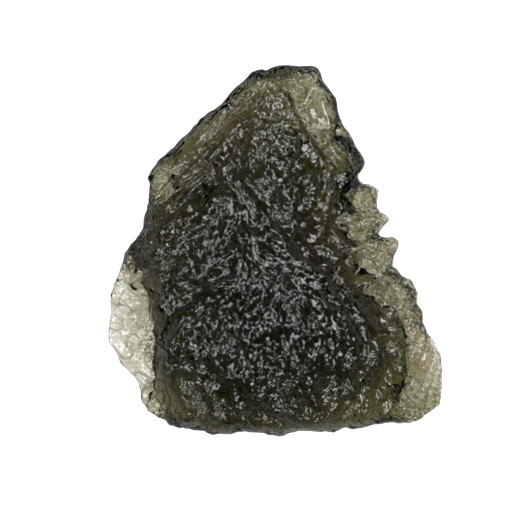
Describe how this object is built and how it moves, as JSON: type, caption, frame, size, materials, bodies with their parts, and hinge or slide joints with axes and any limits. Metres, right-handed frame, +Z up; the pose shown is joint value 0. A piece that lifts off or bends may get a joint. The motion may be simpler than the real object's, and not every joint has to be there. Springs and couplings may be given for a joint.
{
  "type": "moldavite",
  "caption": "Flat, rounded-triangular piece of natural green glass, thick and dark in the middle, thin and clear at its toothed edges, etched with pits and grooves all over.",
  "frame": {"origin": "under the middle of the stone's bounding box, on the surface it rests on", "axes": "+Z up out of the high side, the shortest way through; +Y to the narrow summit, the longest way; +X to the side with the teeth"},
  "size_m": [0.0333, 0.037, 0.011],
  "materials": {
    "moldavite_glass": "etched, glossy, bottle green, see-through where thin"
  },
  "bodies": {
    "root": {"moldavite": "moldavite_glass"}
  },
  "joints": []
}
